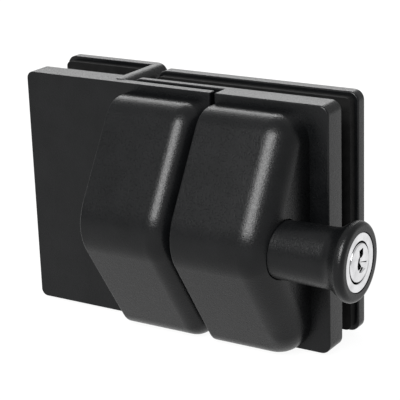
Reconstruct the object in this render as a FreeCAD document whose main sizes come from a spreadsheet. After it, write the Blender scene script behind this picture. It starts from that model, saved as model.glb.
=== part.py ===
import FreeCAD, Part
import math
import os
import re
import Sketcher

# Gate latch for frameless glass: a strike half on the fixed panel and a latch half on the gate.
# X runs along the glass towards the pull knob, with 0 in the middle of the seam between the halves.
# Y runs through the glass, away from the viewer, with 0 in the middle of the gate's glass.
# Z is up, with 0 at half the height of the plates. Everything is in millimetres.

SIZES = {
    # glass and the rubber on it
    "gate_glass": 8,
    "fixed_glass": 12,
    "latch_front_gasket": 1.2,
    "latch_rear_gasket": 3.4,
    "strike_front_gasket": 3.5,
    "strike_rear_gasket": 3,
    "gasket_inset": 1.5,
    # front plates and the step where the two halves overlap
    "plate_height": 90,
    "front_plate": 10,
    "plate_corner": 3.6,
    "strike_corner": 2.7,
    "seam_gap": 1.6,
    "seam_edge_round": 0.8,
    "strike_length": 80.6,
    "latch_length": 44.7,
    "flange": 3.5,
    "tongue": 3.1,
    "tongue_reach": 38.2,
    "buffer_gap": 0.3,
    "buffer_height": 78,
    "buffer_length": 30,
    "buffer_inset": 2,
    # channel of the strike half
    "web_reach": 38.4,
    "web": 4.8,
    "web_round": 4.2,
    "channel_back": 4,
    "channel_reach": 82.4,
    # rear plate of the latch half
    "rear_plate": 5,
    "rear_plate_height": 89.4,
    "rear_plate_reach": 37.3,
    # clamp screws through the glass holes
    "clamp_screw": 8,
    "clamp_head": 15.6,
    "clamp_head_depth": 3.8,
    "clamp_key": 5,
    "clamp_key_depth": 2.8,
    "clamp_thread": 7.5,
    "clamp_spacing": 50,
    "clamp_fit": 0.1,
    "thread_end_gap": 0.3,
    "bush": 15.6,
    "bush_hole_gap": 0.2,
    "bush_end_gap": 0.3,
    "latch_clamp_place": 21,
    "strike_clamp_place": 62,
    # wedge shaped covers
    "cover_top": 41.8,
    "cover_bottom": 46.3,
    "cover_ridge": 36.4,
    "cover_top_end": 11.3,
    "cover_foot_end": 6.8,
    "cover_end_round": 11,
    "cover_ridge_round": 17,
    "cover_left_round": 0.6,
    "cover_wall": 2.6,
    "strike_cover_left": 35.5,
    "strike_cover_round": 7.2,
    "latch_cover_left": 1.9,
    "latch_cover_right": 38.2,
    "latch_cover_round": 9.8,
    "latch_foot_corner": 13,
    # screws that hold the covers from behind
    "cover_screw": 4,
    "cover_head": 8,
    "cover_head_depth": 2.2,
    "cover_thread": 8,
    "cover_thread_end_gap": 1,
    "cover_screw_key": 2.5,
    "cover_screw_key_depth": 1.1,
    "cover_boss": 9,
    "cover_screw_height": 31,
    "strike_screw_near": 9,
    "strike_screw_far": 29,
    "latch_screw_near": 8.5,
    "latch_screw_far": 27,
    # knob, bolt and the axis that they share
    "axis_height": 18,
    "axis_drop": 0.9,
    "pull_travel": 8.4,
    "knob_tube": 20.3,
    "knob_neck": 21,
    "knob_flange": 27.4,
    "knob_rim": 3,
    "knob_rim_round": 1.8,
    "knob_flare": 7,
    "knob_flare_length": 4.6,
    "knob_inner_end": 19.8,
    "knob_outer_end": 66.2,
    "knob_end_wall": 4,
    "knob_hole_gap": 0.35,
    "knob_guide_wall": 1.2,
    "knob_guide": 6.5,
    "knob_guide_end": 33.2,
    "knob_boss": 2,
    "slide_fit": 0.05,
    "bolt": 13,
    "bolt_engagement": 7,
    "bolt_nose_round": 1.5,
    "bolt_flange": 16,
    "bolt_flange_thickness": 1.6,
    "bolt_pocket": 10.6,
    "bolt_nose_wall": 5.8,
    "bolt_thread": 3.5,
    "guide_wall": 2.2,
    "guide": 4.5,
    "guide_collar": 2,
    "guide_collar_thickness": 1.5,
    "stop_gap": 0.2,
    "pull_rod": 5,
    "pull_rod_end_gap": 0.5,
    # spring and the bracket that it pushes against
    "spring": 9.6,
    "spring_wire": 0.9,
    "spring_turns": 6,
    "bracket_wall": 2.2,
    "bracket_width": 24,
    "bracket_foot": 14,
    "bracket_foot_thickness": 4,
    "bracket_top": 6,
    "bracket_screw_spacing": 15,
    "bracket_screw_short": 0.5,
    "bracket_clearance": 0.4,
    # lock in the knob
    "lock_ring": 20.2,
    "lock_ring_thickness": 2,
    "lock_ring_recess": 0.4,
    "lock_ring_gap": 0.15,
    "lock_body": 17,
    "lock_body_length": 30,
    "plug_head": 13.9,
    "plug_head_thickness": 3,
    "plug_core": 10.6,
    "plug_recess": 0.1,
    "plug_tail": 6,
    "key_slot": 1.7,
    "key_slot_low": 2.2,
    "key_slot_step": 0.9,
    "key_slot_step_end": 2.1,
    "key_slot_high": 4.7,
    "key_slot_shift": 1.7,
    "key_slot_depth": 9,
    "key_notch": 4.5,
    "key_notch_lean": 0.5,
    "key_notch_top": 0.4,
    "key_notch_low": 3.2,
    "key_notch_depth": 0.9,
    "key_notch_slant": 45,
    "cam": 2,
    "cam_hub": 11,
    "cam_reach": 7.6,
    "cam_finger": 5,
    "cam_screw": 3,
    "cam_screw_head": 6,
    "cam_screw_head_thickness": 1.6,
    "cam_screw_thread": 5,
    # keeper in the strike half
    "keeper": 18,
    "keeper_fit": 0.3,
    "keeper_end_gap": 0.5,
    "magnet": 14,
    "magnet_thickness": 5,
    "keeper_nose": 17.2,
    "keeper_nose_recess": 0.3,
    "keeper_shoulder": 1,
    "keeper_foot": 15,
    "keeper_cap": 2,
    "keeper_screw_spacing": 10,
    "keeper_screw_clear": 1,
}

# Places that several pieces share, worked out from the sizes.
PLACES = {
    "half_height": "plate_height / 2",
    "seam_edge": "seam_gap / 2",
    "strike_left": "-seam_edge - strike_length",
    "latch_right": "seam_edge + latch_length",
    "plate_back": "-gate_glass / 2 - latch_front_gasket",
    "plate_front": "plate_back - front_plate",
    "latch_gasket_face": "gate_glass / 2",
    "rear_plate_front": "latch_gasket_face + latch_rear_gasket",
    "rear_plate_back": "rear_plate_front + rear_plate",
    "fixed_glass_front": "plate_back + strike_front_gasket",
    "strike_gasket_face": "fixed_glass_front + fixed_glass",
    "channel_front": "strike_gasket_face + strike_rear_gasket",
    "channel_rear": "channel_front + channel_back",
    "web_right": "-seam_edge - web_reach",
    "web_left": "web_right - web",
    "channel_left": "-seam_edge - channel_reach",
    "tongue_left": "-tongue_reach",
    "tongue_front": "plate_back - tongue",
    "rear_plate_left": "-rear_plate_reach",
    "axis": "plate_front - axis_height",
    "axis_level": "-axis_drop",
    "upper_slope": "(cover_ridge - cover_top_end) / cover_top",
    "lower_slope": "(cover_ridge - cover_foot_end) / cover_bottom",
    "lock_face": "knob_outer_end - lock_ring_recess",
    "lock_back": "lock_face - lock_ring_thickness - lock_body_length",
    "plug_face": "lock_face - plug_recess",
    "plug_shoulder": "plug_face - plug_head_thickness",
    "plug_end": "lock_back - slide_fit",
    "bolt_tip": "-seam_edge - bolt_engagement",
    "guide_end": "latch_cover_left + guide",
    "bolt_flange_front": "guide_end + stop_gap",
    "bolt_back": "bolt_flange_front + bolt_flange_thickness",
    "bracket_face": "bolt_back + pull_travel + bracket_clearance",
    "spring_front": "bolt_tip + bolt_nose_wall",
    "keeper_bottom": "bolt_tip - keeper_end_gap",
    "keeper_back": "keeper_bottom - magnet_thickness - keeper_cap",
    "clamp_height": "clamp_spacing / 2",
    "guide_outside": "bolt / 2 + slide_fit + guide_wall",
    "knob_guide_outside": "knob_tube / 2 + slide_fit + knob_guide_wall",
    "bracket_screw_place": "bracket_face + bracket_foot - cover_screw",
    "knob_rim_back": "knob_outer_end - knob_rim",
    "lock_ring_back": "lock_face - lock_ring_thickness",
    "keeper_screw_place": "-seam_edge - cover_wall - cover_head / 2 - keeper_screw_clear",
}

doc = FreeCAD.newDocument("glass_gate_latch")
sheet = doc.addObject("Spreadsheet::Sheet", "Sizes")
for row, (name, value) in enumerate(SIZES.items(), start=1):
    sheet.set(f"A{row}", name.replace("_", " "))
    sheet.set(f"B{row}", str(value))
    sheet.setAlias(f"B{row}", name)
doc.recompute()

nodes = {}
# How far a cut runs past the face that it opens.
overcut = "1"
# Two places nearer than this count as one.
same_place = 0.01


def formula(text):
    """Puts each named size or place of a formula into the form that the document reads."""
    def swap(match):
        word = match.group()
        if word in PLACES:
            return f"({formula(PLACES[word])})"
        return f"Sizes.{word}" if word in SIZES else word
    return re.sub(r"[a-z][a-z_]*", swap, text)


def number(text):
    return float(sheet.evalExpression(formula(text)))


def bind(thing, property_name, text):
    thing.setExpression(property_name, formula(text))


def new_body(name, at=("0", "0", "0")):
    """Starts a piece whose own origin stands at the given place."""
    body = doc.addObject("PartDesign::Body", name)
    body.Label = name
    for letter, text in zip("xyz", at):
        bind(body, f"Placement.Base.{letter}", text)
    return body


def new_sketch(body, plane, level="0", shift="0"):
    """Puts a sketch on one of the piece's own planes, moved along its normal and its first axis."""
    sketch = body.newObject("Sketcher::SketchObject", f"{body.Name}_sketch")
    own_plane = next(f for f in body.Origin.OriginFeatures if f.Role == f"{plane}_Plane")
    sketch.AttachmentSupport = [(own_plane, "")]
    sketch.MapMode = "FlatFace"
    bind(sketch, "AttachmentOffset.Base.z", level)
    bind(sketch, "AttachmentOffset.Base.x", shift)
    return sketch


def fix_point(sketch, geometry, end, place):
    """Ties one point of a sketch to the formulas for its two coordinates."""
    for kind, text in zip(("DistanceX", "DistanceY"), place):
        tie = sketch.addConstraint(Sketcher.Constraint(kind, -1, 1, geometry, end, number(text)))
        sketch.setExpression(f"Constraints[{tie}]", formula(text))


def polygon(sketch, corners):
    points = [FreeCAD.Vector(number(u), number(v), 0) for u, v in corners]
    first = sketch.GeometryCount
    total = len(points)
    for i, point in enumerate(points):
        sketch.addGeometry(Part.LineSegment(point, points[(i + 1) % total]))
    for i in range(total):
        nearest = first + (i + 1) % total
        sketch.addConstraint(Sketcher.Constraint("Coincident", first + i, 2, nearest, 1))
    for i, corner in enumerate(corners):
        fix_point(sketch, first + i, 1, corner)
    return sketch


def circle(sketch, centre, radius):
    middle = FreeCAD.Vector(number(centre[0]), number(centre[1]), 0)
    round_one = sketch.addGeometry(Part.Circle(middle, FreeCAD.Vector(0, 0, 1), number(radius)))
    fix_point(sketch, round_one, 3, centre)
    tie = sketch.addConstraint(Sketcher.Constraint("Radius", round_one, number(radius)))
    sketch.setExpression(f"Constraints[{tie}]", formula(radius))
    return sketch


def box_corners(left, right, low, high):
    return [(left, low), (right, low), (right, high), (left, high)]


def feature(body, kind, sketch, length=None, reverse=False, both=False, axis=None):
    made = body.newObject(f"PartDesign::{kind}", f"{body.Name}_{kind.lower()}")
    made.Profile = sketch
    if length is not None:
        bind(made, "Length", length)
        made.Midplane = both
    if axis is not None:
        made.ReferenceAxis = (sketch, [axis])
        made.Angle = 360
    made.Reversed = reverse
    doc.recompute()
    return made


def slab(body, left, right, low, high, front, thickness):
    """A plate across Y, from its front face backwards."""
    sketch = polygon(new_sketch(body, "XZ", f"-({front})"), box_corners(left, right, low, high))
    return feature(body, "Pad", sketch, thickness, reverse=True)


def hole(body, x, z, radius, front, depth):
    """A round hole along Y that starts at its front end."""
    sketch = circle(new_sketch(body, "XZ", f"-({front})"), (x, z), radius)
    return feature(body, "Pocket", sketch, depth)


def turned(body, profile):
    """A solid of revolution about the piece's own X axis from (x, radius) points."""
    return feature(body, "Revolution", polygon(new_sketch(body, "XY"), profile), axis="H_Axis")


def round_edges(body, radius, test):
    """Rounds the edges whose sampled points, as a list, pass the test."""
    last = body.Tip
    picked = [f"Edge{i}" for i, edge in enumerate(last.Shape.Edges, start=1)
              if test(edge.discretize(5))]
    fillet = body.newObject("PartDesign::Fillet", f"{body.Name}_round")
    fillet.Base = (last, picked)
    bind(fillet, "Radius", radius)
    doc.recompute()
    return fillet


def near(value, text):
    return abs(value - number(text)) < same_place


def corner_rods(x, z):
    """Test for the edges along Y at a corner of a plate, above and below the middle."""
    return lambda points: all(near(p.x, x) and near(abs(p.z), z) for p in points)


def keep(piece, name):
    """Makes a finished object the sub-part of that name."""
    piece.Label = name
    nodes[name] = piece
    return piece


def mirrored_pair(piece, name, level="0"):
    """A piece above a level and its mirror image below it, as one node of separate solids."""
    image = doc.addObject("Part::Mirroring", f"{name}_below")
    image.Source = piece
    image.Normal = FreeCAD.Vector(0, 0, 1)
    bind(image, "Base.z", level)
    pair = doc.addObject("Part::Compound", name)
    pair.Links = [piece, image]
    return pair


def joined(kind, name, pieces):
    made = doc.addObject(kind, name)
    made.Shapes = pieces
    doc.recompute()
    return made


def cut_from(base, tool, name):
    made = doc.addObject("Part::Cut", name)
    made.Base, made.Tool = base, tool
    doc.recompute()
    return made


def rod(name, at, radius, length, along="Y"):
    """A plain cylinder from its foot along X or backwards along minus Y."""
    made = doc.addObject("Part::Cylinder", name)
    bind(made, "Radius", radius)
    bind(made, "Height", length)
    turn = FreeCAD.Rotation(FreeCAD.Vector(0, 1, 0), 90)
    if along == "Y":
        turn = FreeCAD.Rotation(FreeCAD.Vector(1, 0, 0), 90)
    made.Placement = FreeCAD.Placement(FreeCAD.Vector(0, 0, 0), turn)
    for letter, text in zip("xyz", at):
        bind(made, f"Placement.Base.{letter}", text)
    doc.recompute()
    return made


def head_cut(body, x, z, head, head_depth, shank, back, length):
    """The way for a countersunk screw that goes in from the back along minus Y."""
    sketch = new_sketch(body, "XY", z, x)
    polygon(sketch, [
        ("0", back),
        (f"{head} / 2", back),
        (f"{shank} / 2", f"{back} - {head_depth}"),
        (f"{shank} / 2", f"{back} - {length}"),
        ("0", f"{back} - {length}"),
    ])
    return feature(body, "Groove", sketch, axis="V_Axis")


def screw(name, at, head, head_depth, shank, length, key, key_depth):
    """A countersunk screw with a hexagon socket, head at its own origin, shank along minus Y."""
    body = new_body(name, at)
    polygon(new_sketch(body, "XY"), [
        ("0", "0"),
        (f"{head} / 2", "0"),
        (f"{shank} / 2", f"-{head_depth}"),
        (f"{shank} / 2", f"-({length})"),
        ("0", f"-({length})"),
    ])
    feature(body, "Revolution", body.Group[-1], axis="V_Axis")
    across = [(f"{key} / 2 / cos(30) * cos({60 * i})", f"{key} / 2 / cos(30) * sin({60 * i})")
              for i in range(6)]
    socket = polygon(new_sketch(body, "XZ"), across)
    feature(body, "Pocket", socket, key_depth, reverse=True)
    return body


def gasket(name, left, right, height, front, thickness, hole_x):
    """A rubber sheet behind or before the glass, with a hole for each glass bush."""
    body = new_body(name)
    top = f"{height} / 2 - gasket_inset"
    slab(body, left, right, f"-({top})", top, front, thickness)
    for end in (left, right):
        round_edges(body, "plate_corner - gasket_inset", corner_rods(end, top))
    for side in ("", "-"):
        hole(body, hole_x, f"{side}(clamp_height)", "bush / 2 + bush_hole_gap", front, thickness)
    return keep(body, name)


def glass_bushes(name, x, back):
    """Sleeves that keep the clamp screws off the glass, from the front plate to the plate behind."""
    body = new_body(f"{name}_upper", (x, "0", "clamp_height"))
    length = f"{back} - plate_back - bush_end_gap"
    sketch = new_sketch(body, "XZ", "-plate_back")
    circle(sketch, ("0", "0"), "bush / 2")
    circle(sketch, ("0", "0"), "clamp_screw / 2 + clamp_fit")
    feature(body, "Pad", sketch, length, reverse=True)
    return keep(mirrored_pair(body, name), name)


def clamp_screws(name, x, back):
    """Two hexagon socket screws from the back, threaded into the front plate."""
    one = screw(f"{name}_upper", (x, back, "clamp_height"), "clamp_head", "clamp_head_depth",
                "clamp_screw", f"{back} - plate_back + clamp_thread", "clamp_key", "clamp_key_depth")
    return keep(mirrored_pair(one, name), name)


def on_base(points, base):
    return all(near(p.y, base) for p in points)


def leaning(points):
    return abs(points[0].z - points[-1].z) > same_place


def cover_solid(name, left, right, inset, right_round, foot_corner):
    """The wedge form of a cover, drawn smaller all round by the inset to make its hollow.

    A foot corner turns the front round from the right wall on round the foot.
    """
    body = new_body(name)
    top = f"(cover_top - {inset})"
    foot = f"(cover_bottom - {inset})"
    upper_shift = f"{inset} * sqrt(1 + upper_slope^2)"
    lower_shift = f"{inset} * sqrt(1 + lower_slope^2)"
    crest = f"(({lower_shift} - {upper_shift}) / (upper_slope + lower_slope))"
    ridge = f"plate_front - (cover_ridge - {upper_shift} - upper_slope * {crest})"
    top_end = f"plate_front - (cover_ridge - {upper_shift} - upper_slope * {top})"
    foot_end = f"plate_front - (cover_ridge - {lower_shift} - lower_slope * {foot})"
    base = f"plate_front + {inset}"
    near_wall, far_wall = f"{left} + {inset}", f"{right} - {inset}"
    sketch = polygon(new_sketch(body, "YZ", near_wall), [
        (base, f"-{foot}"), (foot_end, f"-{foot}"), (ridge, crest), (top_end, top), (base, top)])
    feature(body, "Pad", sketch, f"{right} - ({left}) - 2 * {inset}")
    round_edges(body, f"cover_end_round - {inset}", lambda points: all(
        near(p.y, top_end) and near(p.z, top) for p in points))
    round_edges(body, f"cover_ridge_round - {inset}", lambda points: all(near(p.y, ridge) for p in points))
    if foot_corner:
        round_edges(body, f"{foot_corner} - {inset}", lambda points: all(
            near(p.x, far_wall) and near(p.z, f"-{foot}") for p in points))
    else:
        round_edges(body, f"cover_end_round - {inset}", lambda points: all(
            near(p.y, foot_end) and near(p.z, f"-{foot}") for p in points))
    round_edges(body, f"{right_round} - {inset}", lambda points: all(
        near(p.x, far_wall) for p in points) and leaning(points) and not on_base(points, base))
    if number(f"cover_left_round - {inset}") > 0:
        round_edges(body, f"cover_left_round - {inset}", lambda points: all(
            near(p.x, near_wall) for p in points) and not on_base(points, base))
    return body


def cover(name, left, right, right_round, screw_places, holes, seats=(), foot_corner=""):
    """A hollow cover with screw bosses inside, round holes through its sides and seats for guides."""
    outside = cover_solid(f"{name}_outside", left, right, "0", right_round, foot_corner)
    hollow = cover_solid(f"{name}_hollow", left, right, "cover_wall", right_round, foot_corner)
    shell = cut_from(outside, hollow, f"{name}_shell")
    spots = [(x, f"{side}cover_screw_height") for x in screw_places for side in ("", "-")]
    posts = [rod(f"{name}_post", (x, "plate_front", z), "cover_boss / 2", "cover_ridge")
             for x, z in spots]
    posts += [rod(f"{name}_seat", (x, "axis", "axis_level"), radius, length, along="X")
              for x, radius, length in seats]
    bosses = joined("Part::MultiCommon", f"{name}_bosses",
                    [joined("Part::MultiFuse", f"{name}_posts", posts), outside])
    whole = joined("Part::MultiFuse", f"{name}_whole", [shell, bosses])
    drills = [rod(f"{name}_drill", (x, "plate_front", z), "(cover_screw + clamp_fit) / 2",
                  "cover_thread + cover_thread_end_gap") for x, z in spots]
    drills += [rod(f"{name}_way", (x, "axis", "axis_level"), radius, length, along="X")
               for x, radius, length in holes]
    return keep(cut_from(whole, joined("Part::MultiFuse", f"{name}_drills", drills), name), name)


def small_screw(name, at, length):
    return screw(name, at, "cover_head", "cover_head_depth", "cover_screw", length,
                 "cover_screw_key", "cover_screw_key_depth")


def cover_screws(name, screw_places, back):
    """Four small countersunk screws from behind a front plate into the cover's bosses."""
    links = []
    for x in screw_places:
        one = small_screw(f"{name}_upper", (x, back, "cover_screw_height"),
                          f"{back} - plate_front + cover_thread")
        links.append(mirrored_pair(one, f"{name}_pair"))
    group = doc.addObject("Part::Compound", name)
    group.Links = links
    doc.recompute()
    return keep(group, name)


# Strike half: one channel shaped bracket on the fixed panel, with a thin flange that the tongue meets.
STRIKE_SCREWS = [f"-{place}" for place in ("strike_screw_near", "strike_screw_far")]
LATCH_SCREWS = ["latch_screw_near", "latch_screw_far"]

bracket = new_body("strike_bracket")
slab(bracket, "strike_left", "-seam_edge", "-half_height", "half_height", "plate_front", "flange")
slab(bracket, "strike_left", "web_right", "-half_height", "half_height", "plate_front", "front_plate")
slab(bracket, "web_left", "web_right", "-half_height", "half_height", "plate_front",
     "channel_rear - plate_front")
slab(bracket, "channel_left", "web_right", "-half_height", "half_height", "channel_front", "channel_back")
round_edges(bracket, "web_round", corner_rods("web_right", "half_height"))
round_edges(bracket, "plate_corner", corner_rods("channel_left", "half_height"))
round_edges(bracket, "strike_corner", corner_rods("strike_left", "half_height"))
round_edges(bracket, "seam_edge_round", lambda points: all(
    near(p.x, "-seam_edge") and near(p.y, "plate_front") for p in points))
for side in ("", "-"):
    head_cut(bracket, "-strike_clamp_place", f"{side}(clamp_height)", "clamp_head",
             "clamp_head_depth", "(clamp_screw + clamp_fit)", "channel_rear",
             "(channel_rear - plate_back + clamp_thread + thread_end_gap)")
    for place in STRIKE_SCREWS:
        head_cut(bracket, place, f"{side}cover_screw_height", "cover_head", "cover_head_depth",
                 "(cover_screw + clamp_fit)", "(plate_front + flange)", f"(flange + {overcut})")
    head_cut(bracket, "keeper_screw_place", f"(axis_level + {side}keeper_screw_spacing / 2)",
             "cover_head", "cover_head_depth", "(cover_screw + clamp_fit)", "(plate_front + flange)",
             f"(flange + {overcut})")
keep(bracket, "strike_bracket")

gasket("strike_front_gasket", "strike_left + gasket_inset", "web_left", "plate_height", "plate_back",
       "strike_front_gasket", "-strike_clamp_place")
gasket("strike_rear_gasket", "channel_left + gasket_inset", "web_left", "plate_height",
       "strike_gasket_face", "strike_rear_gasket", "-strike_clamp_place")
glass_bushes("strike_glass_bushes", "-strike_clamp_place", "channel_front")
clamp_screws("strike_clamp_screws", "-strike_clamp_place", "channel_rear")

buffer = new_body("closing_buffer")
slab(buffer, "-seam_edge - buffer_inset - buffer_length", "-seam_edge - buffer_inset",
     "-buffer_height / 2", "buffer_height / 2", "plate_front + flange",
     "tongue_front - plate_front - flange - buffer_gap")
keep(buffer, "closing_buffer")

cover("strike_cover", "-strike_cover_left", "-seam_edge", "strike_cover_round", STRIKE_SCREWS,
      [("-seam_edge - 2 * cover_wall", "keeper_nose / 2 + clamp_fit", "4 * cover_wall")])
cover_screws("strike_cover_screws", STRIKE_SCREWS, "plate_front + flange")

# Latch half: a plate with a tongue behind the strike's flange, and a separate plate behind the glass.
plate = new_body("latch_plate")
slab(plate, "seam_edge", "latch_right", "-half_height", "half_height", "plate_front", "front_plate")
slab(plate, "tongue_left", f"seam_edge + {overcut}", "-half_height", "half_height", "tongue_front", "tongue")
round_edges(plate, "plate_corner", corner_rods("latch_right", "half_height"))
round_edges(plate, "plate_corner", corner_rods("tongue_left", "half_height"))
for side in ("", "-"):
    hole(plate, "latch_clamp_place", f"{side}(clamp_height)", "(clamp_screw + clamp_fit) / 2",
         "plate_back - clamp_thread - thread_end_gap", "clamp_thread + thread_end_gap")
    for place, height in [(x, f"{side}cover_screw_height") for x in LATCH_SCREWS] + [
            ("bracket_screw_place", f"(axis_level + {side}bracket_screw_spacing / 2)")]:
        head_cut(plate, place, height, "cover_head", "cover_head_depth",
                 "(cover_screw + clamp_fit)", "plate_back", f"(front_plate + {overcut})")
keep(plate, "latch_plate")

gasket("latch_front_gasket", "tongue_left + gasket_inset", "latch_right - gasket_inset", "plate_height",
       "plate_back", "latch_front_gasket", "latch_clamp_place")
gasket("latch_rear_gasket", "rear_plate_left + gasket_inset", "latch_right - gasket_inset",
       "rear_plate_height", "latch_gasket_face", "latch_rear_gasket", "latch_clamp_place")
glass_bushes("latch_glass_bushes", "latch_clamp_place", "rear_plate_front")
clamp_screws("latch_clamp_screws", "latch_clamp_place", "rear_plate_back")

rear = new_body("latch_rear_plate")
slab(rear, "rear_plate_left", "latch_right", "-rear_plate_height / 2", "rear_plate_height / 2",
     "rear_plate_front", "rear_plate")
for end in ("rear_plate_left", "latch_right"):
    round_edges(rear, "plate_corner", corner_rods(end, "rear_plate_height / 2"))
for side in ("", "-"):
    head_cut(rear, "latch_clamp_place", f"{side}(clamp_height)", "clamp_head", "clamp_head_depth",
             "(clamp_screw + clamp_fit)", "rear_plate_back", f"(rear_plate + {overcut})")
keep(rear, "latch_rear_plate")

cover("latch_cover", "latch_cover_left", "latch_cover_right", "latch_cover_round", LATCH_SCREWS, [
    (f"latch_cover_left - {overcut}", "guide_outside + slide_fit", "2 * cover_wall"),
    (f"knob_guide_end - knob_guide - {overcut}", "knob_guide_outside + slide_fit",
     f"knob_guide + {overcut}"),
    (f"knob_guide_end - {overcut}", "knob_tube / 2 + knob_hole_gap", "2 * knob_guide"),
], seats=[("knob_guide_end - knob_guide", "knob_guide_outside + knob_boss", "2 * knob_guide")],
      foot_corner="latch_foot_corner")
cover_screws("latch_cover_screws", LATCH_SCREWS, "plate_back")

# Bush that guides the bolt through the cover's wall at the seam.
guide = new_body("bolt_guide", ("0", "axis", "axis_level"))
turned(guide, [
    ("latch_cover_left + stop_gap", "bolt / 2 + slide_fit"),
    ("latch_cover_left + stop_gap", "guide_outside"),
    ("latch_cover_left + cover_wall", "guide_outside"),
    ("latch_cover_left + cover_wall", "guide_outside + guide_collar"),
    ("latch_cover_left + cover_wall + guide_collar_thickness", "guide_outside + guide_collar"),
    ("latch_cover_left + cover_wall + guide_collar_thickness", "guide_outside"),
    ("guide_end", "guide_outside"),
    ("guide_end", "bolt / 2 + slide_fit"),
])
keep(guide, "bolt_guide")

ring = new_body("knob_guide", ("0", "axis", "axis_level"))
turned(ring, box_corners("knob_guide_end - knob_guide", "knob_guide_end",
                         "knob_tube / 2 + slide_fit", "knob_guide_outside"))
keep(ring, "knob_guide")

# The bracket inside the latch cover that the return spring pushes against.
stop = new_body("spring_bracket", ("0", "0", "axis_level"))
slab(stop, "bracket_face", "bracket_face + bracket_wall", "-bracket_width / 2", "bracket_width / 2",
     "axis - bracket_top", "axis_height + bracket_top")
slab(stop, "bracket_face", "bracket_face + bracket_foot", "-bracket_width / 2", "bracket_width / 2",
     "plate_front - bracket_foot_thickness", "bracket_foot_thickness")
way = circle(new_sketch(stop, "YZ", "bracket_face"), ("axis", "0"), "pull_rod / 2 + clamp_fit")
feature(stop, "Pocket", way, "bracket_wall", reverse=True)
for side in ("", "-"):
    hole(stop, "bracket_screw_place", f"{side}bracket_screw_spacing / 2",
         "(cover_screw + clamp_fit) / 2", "plate_front - bracket_foot_thickness",
         "bracket_foot_thickness")
keep(stop, "spring_bracket")
one = small_screw("spring_bracket_screw",
                  ("bracket_screw_place", "plate_back", "axis_level + bracket_screw_spacing / 2"),
                  "front_plate + bracket_foot_thickness - bracket_screw_short")
keep(mirrored_pair(one, "spring_bracket_screws", "axis_level"), "spring_bracket_screws")

# Knob, rod and bolt slide as one.
knob = new_body("pull_knob", ("0", "axis", "axis_level"))
turned(knob, [
    ("knob_inner_end", "pull_rod / 2 + slide_fit"),
    ("knob_inner_end", "knob_tube / 2"),
    ("knob_guide_end + knob_guide", "knob_tube / 2"),
    ("knob_rim_back - knob_flare_length", "knob_neck / 2"),
    ("knob_rim_back", "knob_flange / 2"),
    ("knob_outer_end", "knob_flange / 2"),
    ("knob_outer_end", "lock_ring / 2 + lock_ring_gap"),
    ("lock_ring_back", "lock_ring / 2 + lock_ring_gap"),
    ("lock_ring_back", "lock_body / 2 + slide_fit"),
    ("knob_inner_end + knob_end_wall", "lock_body / 2 + slide_fit"),
    ("knob_inner_end + knob_end_wall", "pull_rod / 2 + slide_fit"),
])


def ring_edge(x, radius):
    """Test for the circular edges about the piece's X axis at a place and a radius."""
    return lambda points: all(near(p.x, x) and near(math.hypot(p.y, p.z), radius) for p in points)


round_edges(knob, "knob_flare", ring_edge("knob_rim_back - knob_flare_length", "knob_neck / 2"))
round_edges(knob, "knob_rim_round", ring_edge("knob_outer_end", "knob_flange / 2"))
round_edges(knob, "knob_rim_round", ring_edge("knob_rim_back", "knob_flange / 2"))
keep(knob, "pull_knob")

shaft = new_body("pull_rod", ("0", "axis", "axis_level"))
turned(shaft, box_corners("spring_front - bolt_thread", "knob_inner_end + knob_end_wall - pull_rod_end_gap",
                          "0", "pull_rod / 2"))
keep(shaft, "pull_rod")

bolt = new_body("latch_bolt", ("0", "axis", "axis_level"))
turned(bolt, [
    ("bolt_tip", "0"),
    ("bolt_tip", "bolt / 2"),
    ("bolt_flange_front", "bolt / 2"),
    ("bolt_flange_front", "bolt_flange / 2"),
    ("bolt_back", "bolt_flange / 2"),
    ("bolt_back", "bolt_pocket / 2"),
    ("spring_front", "bolt_pocket / 2"),
    ("spring_front", "pull_rod / 2 + slide_fit"),
    ("spring_front - bolt_thread", "pull_rod / 2 + slide_fit"),
    ("spring_front - bolt_thread", "0"),
])
round_edges(bolt, "bolt_nose_round", ring_edge("bolt_tip", "bolt / 2"))
keep(bolt, "latch_bolt")

# Lock: a fixed body with a bright ring in the knob's face, and a plug that the key turns.
barrel = new_body("lock_body", ("0", "axis", "axis_level"))
turned(barrel, [
    ("lock_back", "plug_core / 2 + slide_fit"),
    ("lock_back", "lock_body / 2"),
    ("lock_ring_back", "lock_body / 2"),
    ("lock_ring_back", "lock_ring / 2"),
    ("lock_face", "lock_ring / 2"),
    ("lock_face", "plug_head / 2 + slide_fit"),
    ("plug_shoulder - slide_fit", "plug_head / 2 + slide_fit"),
    ("plug_shoulder - slide_fit", "plug_core / 2 + slide_fit"),
])
keep(barrel, "lock_body")

plug = new_body("lock_plug", ("0", "axis", "axis_level"))
turned(plug, [
    ("plug_end - cam", "cam_screw / 2 + slide_fit"),
    ("plug_end - cam", "plug_tail / 2"),
    ("plug_end", "plug_tail / 2"),
    ("plug_end", "plug_core / 2"),
    ("plug_shoulder", "plug_core / 2"),
    ("plug_shoulder", "plug_head / 2"),
    ("plug_face", "plug_head / 2"),
    ("plug_face", "0"),
    ("plug_end - cam + cam_screw_thread", "0"),
    ("plug_end - cam + cam_screw_thread", "cam_screw / 2 + slide_fit"),
])
slot = polygon(new_sketch(plug, "YZ", "plug_face"), [
    ("-key_slot / 2", "-key_slot_low"),
    ("key_slot / 2", "-key_slot_low"),
    ("key_slot / 2", "key_slot_step"),
    ("key_slot_shift + key_slot / 2", "key_slot_step_end"),
    ("key_slot_shift + key_slot / 2", "key_slot_high"),
    ("key_slot_shift - key_slot / 2", "key_slot_high"),
    ("key_slot_shift - key_slot / 2", "key_slot_step_end"),
    ("-key_slot / 2", "key_slot_step"),
])
feature(plug, "Pocket", slot, "key_slot_depth")
notch = polygon(new_sketch(plug, "YZ", "plug_face"), [
    ("key_slot / 2", "key_notch_top"),
    ("key_slot / 2 + key_notch_lean", "-key_notch_low"),
    ("key_slot / 2 + key_notch", "key_notch_top"),
])
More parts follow.
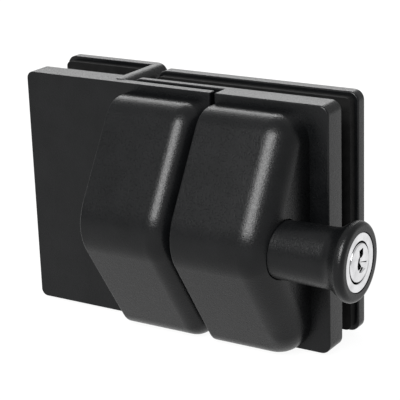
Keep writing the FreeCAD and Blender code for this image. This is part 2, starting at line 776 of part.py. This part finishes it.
bind(feature(plug, "Pocket", notch, "key_notch_depth"), "TaperAngle", "-key_notch_slant")
keep(plug, "lock_plug")

cam = new_body("lock_cam", ("0", "axis", "axis_level"))
turned(cam, box_corners("plug_end - cam", "plug_end", "plug_tail / 2 + slide_fit", "cam_hub / 2"))
finger = polygon(new_sketch(cam, "YZ", "plug_end - cam"), box_corners(
    "-cam_finger / 2", "cam_finger / 2", "(plug_tail + cam_hub) / 4", "cam_reach"))
feature(cam, "Pad", finger, "cam")
keep(cam, "lock_cam")

pin = new_body("cam_screw", ("0", "axis", "axis_level"))
turned(pin, [
    ("plug_end - cam - cam_screw_head_thickness", "0"),
    ("plug_end - cam - cam_screw_head_thickness", "cam_screw_head / 2"),
    ("plug_end - cam", "cam_screw_head / 2"),
    ("plug_end - cam", "cam_screw / 2"),
    ("plug_end - cam + cam_screw_thread", "cam_screw / 2"),
    ("plug_end - cam + cam_screw_thread", "0"),
])
keep(pin, "cam_screw")

# Keeper in the strike half: a socket for the bolt, with a magnet at its bottom.
keeper = new_body("bolt_keeper", ("0", "axis", "axis_level"))
turned(keeper, [
    ("keeper_back", "magnet / 2 + slide_fit"),
    ("keeper_back", "keeper / 2"),
    ("-seam_edge - cover_wall - keeper_shoulder", "keeper / 2"),
    ("-seam_edge - cover_wall - keeper_shoulder", "keeper_nose / 2"),
    ("-seam_edge - keeper_nose_recess", "keeper_nose / 2"),
    ("-seam_edge - keeper_nose_recess", "bolt / 2 + keeper_fit"),
    ("keeper_bottom", "bolt / 2 + keeper_fit"),
    ("keeper_bottom", "magnet / 2 + slide_fit"),
])
slab(keeper, "keeper_back", "-seam_edge - cover_wall - clamp_fit", "-keeper_foot / 2", "keeper_foot / 2",
     "keeper_foot / 2", "axis_height - keeper_foot / 2")
for side in ("", "-"):
    hole(keeper, "keeper_screw_place", f"{side}keeper_screw_spacing / 2",
         "(cover_screw + clamp_fit) / 2", "axis_height - cover_thread", "cover_thread")
keep(keeper, "bolt_keeper")
one = small_screw("keeper_screw",
                  ("keeper_screw_place", "plate_front + flange", "axis_level + keeper_screw_spacing / 2"),
                  "flange + cover_thread - thread_end_gap")
keep(mirrored_pair(one, "keeper_screws", "axis_level"), "keeper_screws")

# Return spring: one wire round the rod, from the bottom of the bolt's pocket to the bracket.
def spring_wire_path():
    """Arcs of a quarter turn along a helix about the axis."""
    radius = number("spring / 2 - spring_wire / 2")
    start = number("spring_front + spring_wire / 2 + slide_fit")
    end = number("bracket_face - spring_wire / 2 - slide_fit")
    turns = number("spring_turns")

    def point(turn):
        angle = 2 * math.pi * turn
        along = start + (end - start) * turn / turns
        return FreeCAD.Vector(along, radius * math.cos(angle), radius * math.sin(angle))

    steps = round(4 * turns)
    arcs = [Part.Arc(point(i * turns / steps), point((i + 0.5) * turns / steps),
                     point((i + 1) * turns / steps)).toShape() for i in range(steps)]
    return Part.Wire(arcs)


def spring_solid():
    path = spring_wire_path()
    first = path.Edges[0]
    start, heading = first.valueAt(first.FirstParameter), first.tangentAt(first.FirstParameter)
    ring = Part.Wire(Part.makeCircle(number("spring_wire / 2"), start, heading))
    return path.makePipeShell([ring], True, True)


spring = doc.addObject("Part::Feature", "return_spring")
spring.Shape = spring_solid()
bind(spring, "Placement.Base.y", "axis")
bind(spring, "Placement.Base.z", "axis_level")
keep(spring, "return_spring")

magnet = new_body("strike_magnet", ("0", "axis", "axis_level"))
turned(magnet, box_corners("keeper_bottom - magnet_thickness", "keeper_bottom", "0", "magnet / 2"))
keep(magnet, "strike_magnet")
lid = new_body("magnet_plug", ("0", "axis", "axis_level"))
turned(lid, box_corners("keeper_back", "keeper_bottom - magnet_thickness", "0", "magnet / 2"))
keep(lid, "magnet_plug")

doc.recompute()
for thing in doc.Objects:
    if "Invalid" in thing.State or "Error" in thing.State:
        raise RuntimeError(f"{thing.Name} failed: {thing.State}")
for name, piece in nodes.items():
    if piece.Shape.isNull() or not piece.Shape.isValid():
        raise RuntimeError(f"{name} has no valid shape")
os.makedirs("parts", exist_ok=True)
for name, piece in nodes.items():
    piece.Shape.exportStep(f"parts/{name}.step")
    print(name, len(piece.Shape.Solids), "solid(s),", round(piece.Shape.Volume / 1000, 2), "cm3")
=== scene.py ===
import math

import bmesh
import bpy
from mathutils import Matrix, Vector


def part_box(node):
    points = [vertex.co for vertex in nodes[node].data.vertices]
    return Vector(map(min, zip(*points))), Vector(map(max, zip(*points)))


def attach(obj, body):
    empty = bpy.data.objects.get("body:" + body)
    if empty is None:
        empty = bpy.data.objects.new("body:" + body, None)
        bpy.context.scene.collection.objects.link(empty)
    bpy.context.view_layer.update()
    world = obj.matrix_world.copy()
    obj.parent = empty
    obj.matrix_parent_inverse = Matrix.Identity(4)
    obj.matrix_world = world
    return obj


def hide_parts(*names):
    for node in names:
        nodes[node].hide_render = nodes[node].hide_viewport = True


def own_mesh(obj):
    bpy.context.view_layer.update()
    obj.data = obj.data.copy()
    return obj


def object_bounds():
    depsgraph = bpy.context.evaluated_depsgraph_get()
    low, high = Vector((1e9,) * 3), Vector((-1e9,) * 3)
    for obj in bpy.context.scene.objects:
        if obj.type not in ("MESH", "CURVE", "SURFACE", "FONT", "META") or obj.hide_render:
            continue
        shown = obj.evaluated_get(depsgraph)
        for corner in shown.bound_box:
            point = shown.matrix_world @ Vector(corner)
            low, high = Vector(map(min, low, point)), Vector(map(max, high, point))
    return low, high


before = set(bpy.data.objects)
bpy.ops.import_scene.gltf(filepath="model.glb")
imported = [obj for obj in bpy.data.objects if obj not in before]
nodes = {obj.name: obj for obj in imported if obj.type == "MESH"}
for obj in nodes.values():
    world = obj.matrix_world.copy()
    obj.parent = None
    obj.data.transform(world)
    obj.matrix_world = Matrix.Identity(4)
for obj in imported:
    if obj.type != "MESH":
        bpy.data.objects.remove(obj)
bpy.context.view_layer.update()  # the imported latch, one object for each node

millimetre = 0.001
fullTurn = math.radians(360)
knobAxis = (-33.2, -0.9)  # y and z of the line through knob, lock, bolt and spring, in millimetres
print("frame loaded:", len(nodes), "nodes")


# Node helpers that every finish below uses

noiseMiddle = (0.3, 0.7)  # most of a noise lies between these


def newMaterial(name):
    material = bpy.data.materials.new(name)
    material.use_nodes = True
    shader = material.node_tree.nodes["Principled BSDF"]
    return material, material.node_tree, shader


def noise(tree, size, detail=3.0, roughness=0.5, stretch=(1, 1, 1)):
    # blotches about size metres across, stretched along an axis by a number below 1
    place = tree.nodes.new("ShaderNodeTexCoord")
    mapping = tree.nodes.new("ShaderNodeMapping")
    mapping.inputs["Scale"].default_value = stretch
    texture = tree.nodes.new("ShaderNodeTexNoise")
    texture.inputs["Scale"].default_value = 1 / size
    texture.inputs["Detail"].default_value = detail
    texture.inputs["Roughness"].default_value = roughness
    tree.links.new(place.outputs["Object"], mapping.inputs["Vector"])
    tree.links.new(mapping.outputs["Vector"], texture.inputs["Vector"])
    return texture.outputs["Fac"]


def tint(tree, shader, source, finish, ends=noiseMiddle):
    # the finish's dark colour up to the first end, its light one from the second
    node = tree.nodes.new("ShaderNodeValToRGB")
    for stop, place, tone in zip(node.color_ramp.elements, ends, ("dark", "light")):
        stop.position = place
        stop.color = (*finish[tone], 1)
    tree.links.new(source, node.inputs["Fac"])
    tree.links.new(node.outputs["Color"], shader.inputs["Base Color"])


def polish(tree, shader, source, finish):
    # roughness from the finish's smoothest to its roughest
    node = tree.nodes.new("ShaderNodeMapRange")
    node.inputs["From Min"].default_value, node.inputs["From Max"].default_value = noiseMiddle
    node.inputs["To Min"].default_value = finish["smoothest"]
    node.inputs["To Max"].default_value = finish["roughest"]
    tree.links.new(source, node.inputs["Value"])
    tree.links.new(node.outputs["Result"], shader.inputs["Roughness"])


def addBump(tree, shader, source, height, before=None):
    # height is the real depth of the bump in metres; bumps chain through before
    node = tree.nodes.new("ShaderNodeBump")
    node.inputs["Distance"].default_value = height
    node.inputs["Strength"].default_value = 1
    tree.links.new(source, node.inputs["Height"])
    if before is not None:
        tree.links.new(before.outputs["Normal"], node.inputs["Normal"])
    tree.links.new(node.outputs["Normal"], shader.inputs["Normal"])
    return node


# Finishes

powderCoat = {
    "dark": (0.0013, 0.0015, 0.0017),
    "light": (0.0027, 0.0029, 0.0032),
    "colourPatch": 9 * millimetre,
    "smoothest": 0.24,
    "roughest": 0.38,
    "speckle": 0.55 * millimetre,
    "speckleHeight": 0.07 * millimetre,
    "peel": 2.2 * millimetre,  # the faint waves of a sprayed coat
    "peelHeight": 0.022 * millimetre,
    "specular": 0.195,
}


def makePowderCoat():
    material, tree, shader = newMaterial("blackPowderCoat")
    patches = noise(tree, powderCoat["colourPatch"], detail=4)
    speckle = noise(tree, powderCoat["speckle"], detail=2, roughness=0.6)
    peel = noise(tree, powderCoat["peel"], detail=1)
    tint(tree, shader, patches, powderCoat)
    polish(tree, shader, speckle, powderCoat)
    shader.inputs["Specular IOR Level"].default_value = powderCoat["specular"]
    waves = addBump(tree, shader, peel, powderCoat["peelHeight"])
    addBump(tree, shader, speckle, powderCoat["speckleHeight"], before=waves)
    return material


rubber = {
    "dark": (0.0030, 0.0030, 0.0030),
    "light": (0.0055, 0.0055, 0.0055),
    "patch": 3 * millimetre,
    "grain": 0.25 * millimetre,
    "grainHeight": 0.02 * millimetre,
    "smoothest": 0.62,
    "roughest": 0.80,
    "specular": 0.08,
}


def makeRubber():
    material, tree, shader = newMaterial("blackRubber")
    patches = noise(tree, rubber["patch"])
    grain = noise(tree, rubber["grain"], detail=2)
    tint(tree, shader, patches, rubber)
    polish(tree, shader, grain, rubber)
    shader.inputs["Specular IOR Level"].default_value = rubber["specular"]
    addBump(tree, shader, grain, rubber["grainHeight"])
    return material


nylon = {
    "dark": (0.013, 0.013, 0.014),
    "light": (0.020, 0.020, 0.021),
    "patch": 5 * millimetre,
    "grain": 0.4 * millimetre,
    "grainHeight": 0.008 * millimetre,
    "smoothest": 0.38,
    "roughest": 0.52,
}


def makeNylon():
    material, tree, shader = newMaterial("blackNylon")
    patches = noise(tree, nylon["patch"])
    grain = noise(tree, nylon["grain"], detail=2)
    tint(tree, shader, patches, nylon)
    polish(tree, shader, grain, nylon)
    addBump(tree, shader, grain, nylon["grainHeight"])
    return material


steel = {
    "dark": (0.46, 0.455, 0.45),
    "light": (0.60, 0.595, 0.585),
    "streak": 0.6 * millimetre,
    "stretch": (0.06, 1, 1),
    "grooveHeight": 0.004 * millimetre,
    "smoothest": 0.24,
    "roughest": 0.40,
}


def makeSteel():
    material, tree, shader = newMaterial("stainlessSteel")
    streaks = noise(tree, steel["streak"], detail=4, stretch=steel["stretch"])
    tint(tree, shader, streaks, steel)
    polish(tree, shader, streaks, steel)
    shader.inputs["Metallic"].default_value = 1
    addBump(tree, shader, streaks, steel["grooveHeight"])
    return material


chrome = {
    "dark": (0.55, 0.55, 0.56),
    "light": (0.74, 0.74, 0.75),
    "cloud": 4 * millimetre,
    "cloudEnds": (0.25, 0.6),
    "scratch": 0.25 * millimetre,
    "stretch": (1, 0.08, 1),
    "scratchHeight": 0.0012 * millimetre,
    "smoothest": 0.07,
    "roughest": 0.16,
}


def makeChrome():
    material, tree, shader = newMaterial("brightChrome")
    clouds = noise(tree, chrome["cloud"], detail=5)
    scratches = noise(tree, chrome["scratch"], detail=3, stretch=chrome["stretch"])
    tint(tree, shader, clouds, chrome, ends=chrome["cloudEnds"])
    polish(tree, shader, clouds, chrome)
    shader.inputs["Metallic"].default_value = 1
    addBump(tree, shader, scratches, chrome["scratchHeight"])
    return material


nickel = {
    "dark": (0.50, 0.47, 0.42),
    "light": (0.66, 0.62, 0.56),
    "cloud": 2.5 * millimetre,
    "grain": 0.3 * millimetre,
    "grainHeight": 0.003 * millimetre,
    "smoothest": 0.14,
    "roughest": 0.28,
}


def makeNickel():
    material, tree, shader = newMaterial("nickelPlating")
    clouds = noise(tree, nickel["cloud"], detail=4)
    grain = noise(tree, nickel["grain"], detail=2)
    tint(tree, shader, clouds, nickel)
    polish(tree, shader, clouds, nickel)
    shader.inputs["Metallic"].default_value = 1
    addBump(tree, shader, grain, nickel["grainHeight"])
    return material


finishes = {  # by the names of the record's material slots
    "black_powder_coat": makePowderCoat(),
    "black_rubber": makeRubber(),
    "black_nylon": makeNylon(),
    "stainless_steel": makeSteel(),
    "bright_chrome": makeChrome(),
    "nickel_plating": makeNickel(),
}
print("finishes made:", ", ".join(finishes))


# Helpers for the pieces that are made here

def addPiece(name, mesh):
    data = bpy.data.meshes.new(name)
    mesh.to_mesh(data)
    mesh.free()
    piece = bpy.data.objects.new(name, data)
    bpy.context.scene.collection.objects.link(piece)
    return piece


def smoothen(piece):
    for face in piece.data.polygons:
        face.use_smooth = True


def standInFor(piece, node, body):
    # gives the piece the node's finish and body, and hides the node
    slotName = nodes[node].material_slots[0].material.name
    piece.data.materials.clear()
    piece.data.materials.append(finishes[slotName])
    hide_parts(node)
    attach(piece, body)


# The lock in the knob's end, turned and cut in finer detail than its nodes

lock = {  # lengths in millimetres, places on the face as (towards the glass, up) from the axis
    "steps": 96,
    "roundSteps": 8,
    "ringBack": [(59.65, 7.2), (59.65, 5.35), (33.8, 5.35), (33.8, 8.5), (63.8, 8.5), (63.8, 10.1)],
    "ringOuterRound": (65.7, 9.82, 0.28, 90, 0),  # centre x, centre radius, round, both end angles
    "ringInnerRound": (65.6, 7.5, 0.3, 0, -90),
    "plugBack": [(36.75, 0.0), (36.75, 1.55), (31.75, 1.55), (31.75, 3.0), (33.75, 3.0), (33.75, 5.3),
                 (59.7, 5.3), (59.7, 6.62)],
    "plugRound": (65.6, 6.07, 0.55, 90, 0),
    "cuts": {  # outline and depth of each straight cut in the plug's face
        "upperSlot": ([(-0.6, 4.3), (2.15, 4.6), (2.15, 2.3), (1.0, 1.6), (-0.35, 1.7)], 9.0),
        "neck": ([(-0.5, 2.1), (0.1, 2.1), (-0.6, 0.0), (-1.6, 0.4), (-1.3, 1.5)], 9.0),
        "lowerSlot": ([(-0.9, 0.5), (-1.65, 0.6), (-2.05, -0.65), (-1.8, -1.95), (-0.87, -2.4),
                       (0.35, -1.95), (0.7, -1.38), (-0.45, 0.1)], 9.0),
        "notchTop": ([(0.1, 0.35), (4.9, -0.85), (4.6, -1.3), (0.2, -0.1)], 3.0),
        "notchFoot": ([(0.95, -1.7), (3.2, -2.7), (0.7, -3.8), (-0.8, -3.2), (-0.6, -2.75)], 2.6),
    },
    "notchRim": [(0.78, 0.2), (5.0, -0.9), (3.9, -3.2), (0.95, -3.9)],
    "notchFloor": [(0.85, -0.5, 1.3), (1.0, -2.2, 1.5), (3.3, -1.5, 0.5)],  # with the depth
    "cutterLead": 0.5,  # how far the cutters stand out of the face
    "joinDistance": 0.002,
    "cornerAngle": 13,  # in degrees; a sharper edge stays a crisp line
}


def roundedCorner(x, radius, size, first, last):
    # points of a small round in the turned profile, angle 0 along x and 90 away from the axis
    steps = lock["roundSteps"]
    angles = [math.radians(first + (last - first) * step / steps) for step in range(steps + 1)]
    return [(x + size * math.cos(angle), radius + size * math.sin(angle)) for angle in angles]


def turnedMesh(name, profile):
    # spins (x, radius) points about the knob's axis
    mesh = bmesh.new()
    rim = [mesh.verts.new((x * millimetre, 0, radius * millimetre)) for x, radius in profile]
    for first, second in zip(rim, rim[1:] + rim[:1]):
        if not (first.co.z == 0 and second.co.z == 0):
            mesh.edges.new((first, second))
    bmesh.ops.spin(mesh, geom=mesh.verts[:] + mesh.edges[:], cent=(0, 0, 0), axis=(1, 0, 0),
                   angle=fullTurn, steps=lock["steps"], use_merge=True)
    return placedOnAxis(name, mesh)


def hullMesh(name, points):
    mesh = bmesh.new()
    for point in points:
        mesh.verts.new([part * millimetre for part in point])
    bmesh.ops.convex_hull(mesh, input=mesh.verts[:])
    return placedOnAxis(name, mesh)


def placedOnAxis(name, mesh):
    # joins doubled points, turns the faces outwards and moves the piece onto the knob's axis
    bmesh.ops.remove_doubles(mesh, verts=mesh.verts[:], dist=lock["joinDistance"] * millimetre)
    bmesh.ops.recalc_face_normals(mesh, faces=mesh.faces[:])
    depth, level = knobAxis
    bmesh.ops.translate(mesh, verts=mesh.verts[:], vec=(0, depth * millimetre, level * millimetre))
    return addPiece(name, mesh)


def slotCutters():
    face = lock["plugRound"][0] + lock["plugRound"][2]
    outside = face + lock["cutterLead"]
    cutters = [hullMesh(name, [(x, across, up) for across, up in outline for x in (outside, face - depth)])
               for name, (outline, depth) in lock["cuts"].items()]
    notch = [(face, across, up) for across, up in lock["notchRim"]]
    notch += [(outside, across, up) for across, up in lock["notchRim"]]
    notch += [(face - depth, across, up) for across, up, depth in lock["notchFloor"]]
    return cutters + [hullMesh("notch", notch)]


def cutAway(piece, cutter):
    cut = piece.modifiers.new(cutter.name, "BOOLEAN")
    cut.operation, cut.solver, cut.object = "DIFFERENCE", "EXACT", cutter
    view = bpy.context.evaluated_depsgraph_get()
    shaped = bpy.data.meshes.new_from_object(piece.evaluated_get(view))
    piece.modifiers.clear()
    piece.data = shaped
    bpy.data.objects.remove(cutter)


def makeLock():
    ringRounds = roundedCorner(*lock["ringOuterRound"]) + roundedCorner(*lock["ringInnerRound"])
    ring = turnedMesh("lockRing", lock["ringBack"] + ringRounds)
    plugFront = roundedCorner(*lock["plugRound"])
    plug = turnedMesh("plugWithKeyway", lock["plugBack"] + plugFront + [(plugFront[-1][0], 0.0)])
    for cutter in slotCutters():
        cutAway(plug, cutter)
    for piece, node, body in ((ring, "lock_body", "pull"), (plug, "lock_plug", "key")):
        smoothen(piece)
        crisp = piece.modifiers.new("sharpCorners", "EDGE_SPLIT")
        crisp.split_angle = math.radians(lock["cornerAngle"])
        standInFor(piece, node, body)


makeLock()
print("lock made")


# The return spring, built at one length; the real one shortens against its bracket when the knob is pulled

spring = {  # lengths in millimetres
    "wire": 0.9,
    "liveTurns": 5,
    "endTurns": 0.75,  # closed turns at each end
    "endRise": 1.02,  # of a closed turn, in wires
    "travel": 8.4,
    "stepsPerTurn": 40,
    "ringSteps": 12,
}


def springPath(low, high):
    # closed end turns lie wire on wire, the turns between them rise evenly
    wire = spring["wire"] * millimetre
    radius = (high.z - low.z - wire) / 2
    depth, level = (part * millimetre for part in knobAxis)
    first, last = low.x + wire / 2, high.x - wire / 2
    closed, live = spring["endTurns"], spring["liveTurns"]
    endRise = closed * wire * spring["endRise"]
    turns = live + 2 * closed
    points = []
    for step in range(int(turns * spring["stepsPerTurn"]) + 1):
        turn = step / spring["stepsPerTurn"]
        if turn < closed:
            x = first + endRise * turn / closed
        elif turn > turns - closed:
            x = last - endRise * (turns - turn) / closed
        else:
            x = first + endRise + (last - first - 2 * endRise) * (turn - closed) / live
        y = depth + radius * math.cos(fullTurn * turn)
        z = level + radius * math.sin(fullTurn * turn)
        points.append(Vector((x, y, z)))
    return points


def wireMesh(path, centre):
    # a round wire along the path, its rings set out from the spring's centre line
    wire, count = spring["wire"] * millimetre / 2, spring["ringSteps"]
    around = [fullTurn * step / count for step in range(count)]
    mesh = bmesh.new()
    rings = []
    for before, point, after in zip(path[:1] + path, path, path[1:] + path[-1:]):
        heading = (after - before).normalized()
        outward = Vector((0, point.y - centre.y, point.z - centre.z))
        outward = (outward - heading * outward.dot(heading)).normalized()
        across = heading.cross(outward)
        rings.append([mesh.verts.new(point + (outward * math.cos(a) + across * math.sin(a)) * wire)
                      for a in around])
    for near, far in zip(rings, rings[1:]):
        for corners in zip(near, near[1:] + near[:1], far[1:] + far[:1], far):
            mesh.faces.new(corners)
    mesh.faces.new(reversed(rings[0]))
    mesh.faces.new(rings[-1])
    bmesh.ops.recalc_face_normals(mesh, faces=mesh.faces[:])
    return mesh


def makeSpring():
    low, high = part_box("return_spring")
    centre = Vector((0, *(part * millimetre for part in knobAxis)))
    coil = addPiece("returnSpring", wireMesh(springPath(low, high), centre))
    smoothen(coil)
    standInFor(coil, "return_spring", "brackets")
    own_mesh(coil)


makeSpring()
print("spring made")


# Every node takes the finish of its slot; all but the already rounded ones get softened edges

edgeRounds = {  # width of the softened edge in metres, for the nodes that show most
    "strike_bracket": 0.35 * millimetre,
    "latch_plate": 0.6 * millimetre,
    "latch_rear_plate": 0.6 * millimetre,
}
roundedAlready = ("strike_cover", "latch_cover", "pull_knob")  # left as they come
softening = {
    "plainRound": 0.08 * millimetre,
    "segments": 2,
    "joinDistance": 0.0005 * millimetre,
    "flatAngle": 0.2,  # in degrees; faces that lie flatter than this become one
    "sharpAngle": 32,  # in degrees; edges sharper than this are rounded
}


def softenEdges(obj, width):
    join = obj.modifiers.new("joinFaces", "WELD")
    join.merge_threshold = softening["joinDistance"]
    flat = obj.modifiers.new("joinFlats", "DECIMATE")
    flat.decimate_type = "DISSOLVE"
    flat.angle_limit = math.radians(softening["flatAngle"])
    bevel = obj.modifiers.new("softEdges", "BEVEL")
    bevel.width = width
    bevel.segments = softening["segments"]
    bevel.limit_method = "ANGLE"
    bevel.angle_limit = math.radians(softening["sharpAngle"])
    bevel.use_clamp_overlap = False
    bevel.loop_slide = False
    even = obj.modifiers.new("evenShading", "WEIGHTED_NORMAL")
    even.mode = "FACE_AREA"


def dressNode(name):
    obj = nodes[name]
    slotName = obj.material_slots[0].material.name
    obj.material_slots[0].material = finishes[slotName]
    if name not in roundedAlready:
        imported = obj.data.attributes.get("custom_normal")
        if imported is not None:
            obj.data.attributes.remove(imported)  # the modifiers shade the rounds
        smoothen(obj)
        softenEdges(obj, edgeRounds.get(name, softening["plainRound"]))


for name in nodes:
    dressNode(name)
print("nodes dressed")


# Floor, light and camera

floor = {
    "level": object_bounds()[0].z,
    "size": 3.0,
    "colour": (0.04, 0.04, 0.04),
    "roughness": 0.9,
    "glow": 0.94,
}


def makeFloor():
    half = floor["size"] / 2
    mesh = bpy.data.meshes.new("floor")
    corners = [(-half, -half, 0), (half, -half, 0), (half, half, 0), (-half, half, 0)]
    mesh.from_pydata(corners, [], [(0, 1, 2, 3)])
    obj = bpy.data.objects.new("floor", mesh)
    obj.location.z = floor["level"]
    bpy.context.scene.collection.objects.link(obj)
    material, tree, shader = newMaterial("paleFloor")
    shader.inputs["Base Color"].default_value = (*floor["colour"], 1)
    shader.inputs["Roughness"].default_value = floor["roughness"]
    shader.inputs["Emission Color"].default_value = (1, 1, 1, 1)
    shader.inputs["Emission Strength"].default_value = floor["glow"]
    mesh.materials.append(material)


studio = {
    "tent": 0.66,  # light from all round
    "backdrop": 1.0,  # the white seen behind the latch
    "softboxes": {
        "strip": {"azimuth": 9, "elevation": 43, "distance": 1.2, "width": 0.66, "height": 0.76, "watts": 34},
        "top": {"azimuth": -146, "elevation": 32, "distance": 1.3, "width": 0.9, "height": 0.36, "watts": 4.3},
        "rear": {"azimuth": -147, "elevation": 20, "distance": 1.5, "width": 1.2, "height": 0.4, "watts": 2.1},
    },
}


def direction(azimuth, elevation):
    # towards the viewer at azimuth 0, turning to the right
    a, e = math.radians(azimuth), math.radians(elevation)
    return Vector((math.sin(a) * math.cos(e), -math.cos(a) * math.cos(e), math.sin(e)))


def addSoftbox(name, settings):
    data = bpy.data.lights.new(name, "AREA")
    data.shape = "RECTANGLE"
    data.size = settings["width"]
    data.size_y = settings["height"]
    data.energy = settings["watts"]
    obj = bpy.data.objects.new(name, data)
    toLight = direction(settings["azimuth"], settings["elevation"])
    obj.location = toLight * settings["distance"]
    obj.rotation_euler = toLight.to_track_quat("Z", "Y").to_euler()
    obj.visible_camera = False
    bpy.context.scene.collection.objects.link(obj)


def makeTent():
    world = bpy.data.worlds.new("lightTent")
    world.use_nodes = True
    tree = world.node_tree
    tent = tree.nodes["Background"]
    backdrop = tree.nodes.new("ShaderNodeBackground")
    for background, level in ((tent, studio["tent"]), (backdrop, studio["backdrop"])):
        background.inputs["Color"].default_value = (1, 1, 1, 1)
        background.inputs["Strength"].default_value = level
    ray = tree.nodes.new("ShaderNodeLightPath")
    choose = tree.nodes.new("ShaderNodeMixShader")
    tree.links.new(ray.outputs["Is Camera Ray"], choose.inputs[0])
    tree.links.new(tent.outputs["Background"], choose.inputs[1])
    tree.links.new(backdrop.outputs["Background"], choose.inputs[2])
    tree.links.new(choose.outputs["Shader"], tree.nodes["World Output"].inputs["Surface"])
    bpy.context.scene.world = world


photoView = {  # where the photograph was taken from
    "azimuth": 32.523,
    "elevation": 18.021,
    "roll": -2.0,
    "target": (-6.32 * millimetre, -15.2 * millimetre, 4.91 * millimetre),
    "distance": 548.0 * millimetre,
    "focalPixels": 1530.836,
    "picturePixels": 400,
    "sensor": 36.0,
    "nearest": 10 * millimetre,
}


def makeCamera():
    data = bpy.data.cameras.new("photoCamera")
    data.sensor_fit = "HORIZONTAL"
    data.sensor_width = photoView["sensor"]
    data.lens = photoView["focalPixels"] * photoView["sensor"] / photoView["picturePixels"]
    data.clip_start = photoView["nearest"]
    obj = bpy.data.objects.new("photoCamera", data)
    back = direction(photoView["azimuth"], photoView["elevation"])
    aim = back.to_track_quat("Z", "Y").to_matrix().to_4x4()
    roll = Matrix.Rotation(math.radians(photoView["roll"]), 4, "Z")
    place = Vector(photoView["target"]) + back * photoView["distance"]
    obj.matrix_world = Matrix.Translation(place) @ aim @ roll
    bpy.context.scene.collection.objects.link(obj)
    bpy.context.scene.camera = obj


makeFloor()
makeTent()
for name, settings in studio["softboxes"].items():
    addSoftbox(name, settings)
makeCamera()
bpy.context.scene.view_settings.view_transform = "Standard"
print("studio set")
